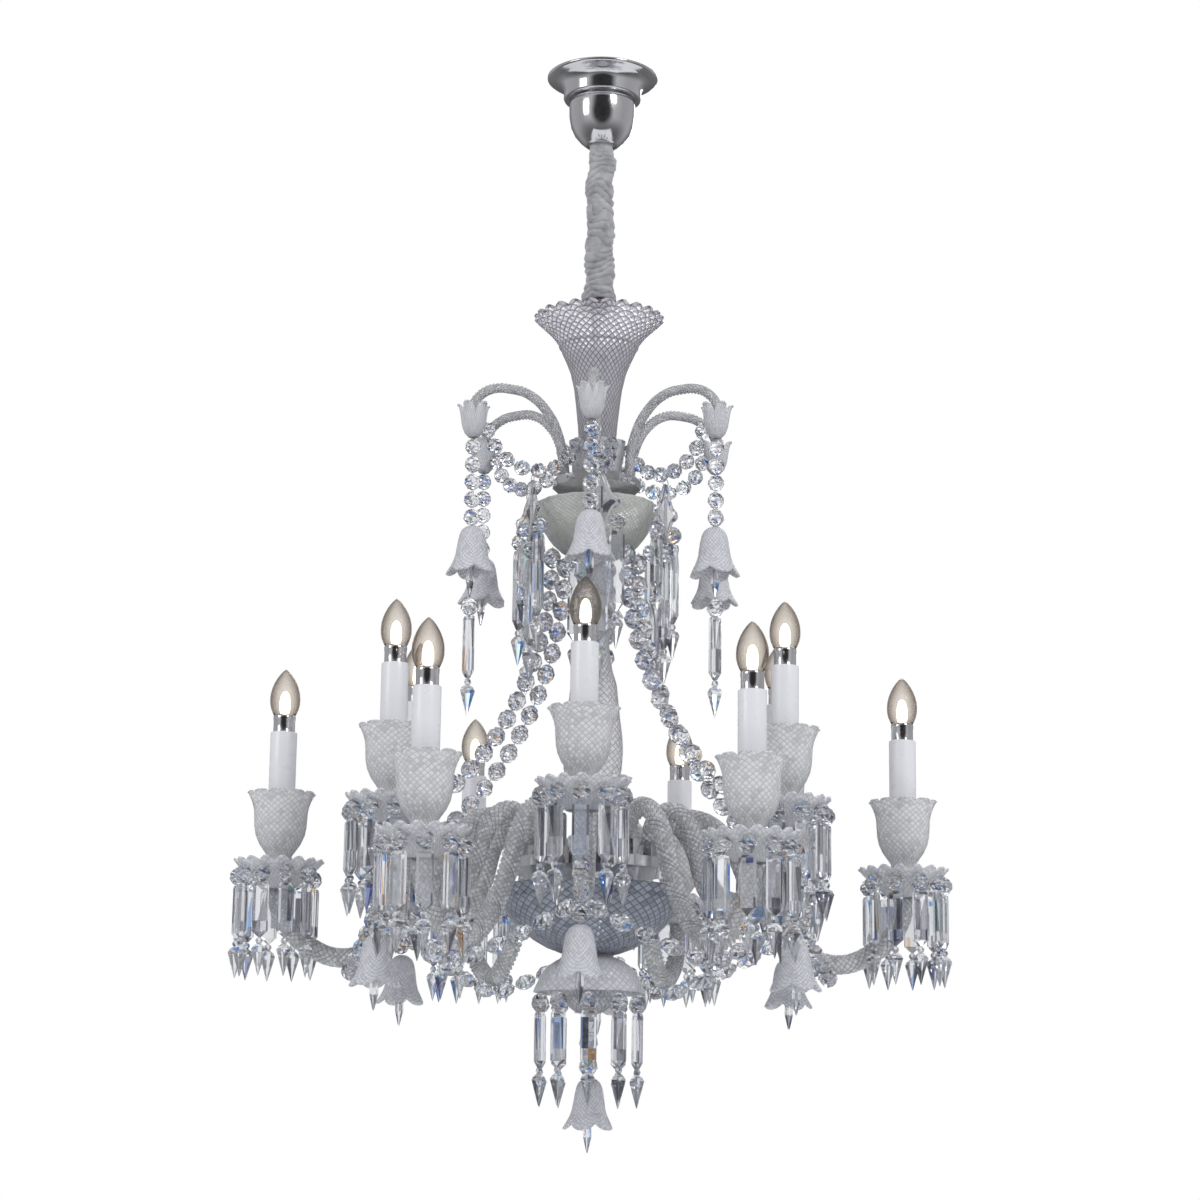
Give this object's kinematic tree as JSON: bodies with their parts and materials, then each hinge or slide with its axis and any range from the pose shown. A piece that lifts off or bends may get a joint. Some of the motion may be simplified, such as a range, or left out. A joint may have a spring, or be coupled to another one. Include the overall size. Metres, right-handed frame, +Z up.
{
  "type": "crystal chandelier",
  "caption": "Glass-arm chandelier with two tiers of candle lamps on rope-twist arms, cut glass bowls, bells, bead swags and crystal drops, hung on a sleeved chain.",
  "frame": {"origin": "the middle of the mounting bracket's screw holes on the ceiling plane, on the stem axis", "axes": "+Z up along the stem, -Y towards the viewer (front), +X to the right"},
  "size_m": [0.827, 0.7632, 1.2854],
  "materials": {
    "zinc_steel": "satin",
    "chrome": "polished",
    "grey_velvet": "soft pile",
    "white_sleeve": "smooth",
    "bulb_glass": "clear",
    "rope_glass": "twisted",
    "crystal": "faceted",
    "cut_glass": "diamond cut"
  },
  "bodies": {
    "ceiling_mount": {"mounting_bracket": "zinc_steel", "ceiling_hook": "zinc_steel", "canopy_bridge": "zinc_steel", "canopy_flange": "chrome", "canopy_cup": "chrome"},
    "chain": {"suspension_chain": "zinc_steel", "fabric_sleeve": "grey_velvet"},
    "link": {"quick_link": "zinc_steel"},
    "frame": {"arm_receiver": "chrome", "arm_sockets": "chrome", "bottom_dome": "cut_glass", "bulbs": "bulb_glass", "candle_cups": "cut_glass", "candle_tubes": "white_sleeve", "cane_receiver": "chrome", "cane_tulips": "cut_glass", "centre_rod": "zinc_steel", "collar_swags": "crystal", "column_ball": "cut_glass", "column_baluster": "cut_glass", "dish_cap": "chrome", "drip_pans": "cut_glass", "drop_octagons": "crystal", "drop_prisms": "crystal", "drop_spears": "crystal", "end_nut": "chrome", "foot_baluster": "cut_glass", "glass_canes": "rope_glass", "lamp_holders": "chrome", "leaf_collar": "cut_glass", "long_strands": "crystal", "lower_arms": "rope_glass", "lower_bowl": "cut_glass", "lower_swags": "crystal", "stem_spacers": "chrome", "swag_pins": "chrome", "top_loop": "chrome", "trumpet_vase": "cut_glass", "upper_arms": "rope_glass", "upper_dish": "cut_glass", "vase_collar": "cut_glass"},
    "bottom_bell_drop": {"bottom_bell": "crystal"},
    "fleur_drop_1_drop": {"fleur_drop_1": "crystal"},
    "fleur_drop_2_drop": {"fleur_drop_2": "crystal"},
    "fleur_drop_3_drop": {"fleur_drop_3": "crystal"},
    "fleur_drop_4_drop": {"fleur_drop_4": "crystal"},
    "fleur_drop_5_drop": {"fleur_drop_5": "crystal"},
    "fleur_drop_6_drop": {"fleur_drop_6": "crystal"},
    "lower_bell_1_drop": {"lower_bell_1": "crystal"},
    "lower_bell_2_drop": {"lower_bell_2": "crystal"},
    "lower_bell_3_drop": {"lower_bell_3": "crystal"},
    "lower_bell_4_drop": {"lower_bell_4": "crystal"},
    "lower_bell_5_drop": {"lower_bell_5": "crystal"},
    "lower_bell_6_drop": {"lower_bell_6": "crystal"},
    "top_bell_1_drop": {"top_bell_1": "crystal"},
    "top_bell_2_drop": {"top_bell_2": "crystal"},
    "top_bell_3_drop": {"top_bell_3": "crystal"},
    "top_bell_4_drop": {"top_bell_4": "crystal"},
    "top_bell_5_drop": {"top_bell_5": "crystal"},
    "top_bell_6_drop": {"top_bell_6": "crystal"}
  },
  "joints": [
    {"name": "chain_swing", "type": "hinge", "parent": "ceiling_mount", "child": "chain", "pos_m": [0, 0, -0.06139], "axis": [1, 0, 0], "range_deg": [-4, 4]},
    {"name": "link_turn", "type": "hinge", "parent": "chain", "child": "link", "pos_m": [0, 0, -0.23498], "axis": [0, 0, 1], "range_deg": [-25, 25]},
    {"name": "frame_swing", "type": "hinge", "parent": "link", "child": "frame", "pos_m": [0, 0, -0.26498], "axis": [0, 1, 0], "range_deg": [-4, 4]},
    {"name": "top_bell_1_swing", "type": "hinge", "parent": "frame", "child": "top_bell_1_drop", "pos_m": [0.13738, -0.08585, -0.47715], "axis": [-0.5299, -0.848, 0], "range_deg": [-5, 12]},
    {"name": "top_bell_2_swing", "type": "hinge", "parent": "frame", "child": "top_bell_2_drop", "pos_m": [-0.00565, -0.1619, -0.47715], "axis": [-0.9994, 0.0349, 0], "range_deg": [-5, 12]},
    {"name": "top_bell_3_swing", "type": "hinge", "parent": "frame", "child": "top_bell_3_drop", "pos_m": [-0.14304, -0.07605, -0.47715], "axis": [-0.4695, 0.8829, 0], "range_deg": [-5, 12]},
    {"name": "top_bell_4_swing", "type": "hinge", "parent": "frame", "child": "top_bell_4_drop", "pos_m": [-0.13738, 0.08585, -0.47715], "axis": [0.5299, 0.848, 0], "range_deg": [-5, 12]},
    {"name": "top_bell_5_swing", "type": "hinge", "parent": "frame", "child": "top_bell_5_drop", "pos_m": [0.00565, 0.1619, -0.47715], "axis": [0.9994, -0.0349, 0], "range_deg": [-5, 12]},
    {"name": "top_bell_6_swing", "type": "hinge", "parent": "frame", "child": "top_bell_6_drop", "pos_m": [0.14304, 0.07605, -0.47715], "axis": [0.4695, -0.8829, 0], "range_deg": [-5, 12]},
    {"name": "fleur_drop_1_swing", "type": "hinge", "parent": "frame", "child": "fleur_drop_1_drop", "pos_m": [0.08026, -0.03945, -0.512], "axis": [-0.5299, -0.848, 0], "range_deg": [-1, 8]},
    {"name": "fleur_drop_2_swing", "type": "hinge", "parent": "frame", "child": "fleur_drop_2_drop", "pos_m": [0.00596, -0.08923, -0.512], "axis": [-0.9994, 0.0349, 0], "range_deg": [-1, 8]},
    {"name": "fleur_drop_3_swing", "type": "hinge", "parent": "frame", "child": "fleur_drop_3_drop", "pos_m": [-0.07429, -0.04978, -0.512], "axis": [-0.4695, 0.8829, 0], "range_deg": [-1, 8]},
    {"name": "fleur_drop_4_swing", "type": "hinge", "parent": "frame", "child": "fleur_drop_4_drop", "pos_m": [-0.08026, 0.03945, -0.512], "axis": [0.5299, 0.848, 0], "range_deg": [-1, 8]},
    {"name": "fleur_drop_5_swing", "type": "hinge", "parent": "frame", "child": "fleur_drop_5_drop", "pos_m": [-0.00596, 0.08923, -0.512], "axis": [0.9994, -0.0349, 0], "range_deg": [-1, 8]},
    {"name": "fleur_drop_6_swing", "type": "hinge", "parent": "frame", "child": "fleur_drop_6_drop", "pos_m": [0.07429, 0.04978, -0.512], "axis": [0.4695, -0.8829, 0], "range_deg": [-1, 8]},
    {"name": "lower_bell_1_swing", "type": "hinge", "parent": "frame", "child": "lower_bell_1_drop", "pos_m": [0.22558, -0.14096, -1.03215], "axis": [-0.5299, -0.848, 0], "range_deg": [-6, 6]},
    {"name": "lower_bell_2_swing", "type": "hinge", "parent": "frame", "child": "lower_bell_2_drop", "pos_m": [-0.00928, -0.26584, -1.03215], "axis": [-0.9994, 0.0349, 0], "range_deg": [-6, 6]},
    {"name": "lower_bell_3_swing", "type": "hinge", "parent": "frame", "child": "lower_bell_3_drop", "pos_m": [-0.23486, -0.12488, -1.03215], "axis": [-0.4695, 0.8829, 0], "range_deg": [-6, 6]},
    {"name": "lower_bell_4_swing", "type": "hinge", "parent": "frame", "child": "lower_bell_4_drop", "pos_m": [-0.22558, 0.14096, -1.03215], "axis": [0.5299, 0.848, 0], "range_deg": [-6, 6]},
    {"name": "lower_bell_5_swing", "type": "hinge", "parent": "frame", "child": "lower_bell_5_drop", "pos_m": [0.00928, 0.26584, -1.03215], "axis": [0.9994, -0.0349, 0], "range_deg": [-6, 6]},
    {"name": "lower_bell_6_swing", "type": "hinge", "parent": "frame", "child": "lower_bell_6_drop", "pos_m": [0.23486, 0.12488, -1.03215], "axis": [0.4695, -0.8829, 0], "range_deg": [-6, 6]},
    {"name": "bottom_bell_swing", "type": "hinge", "parent": "frame", "child": "bottom_bell_drop", "pos_m": [0, 0, -1.14825], "axis": [1, 0, 0], "range_deg": [-8, 8]}
  ]
}
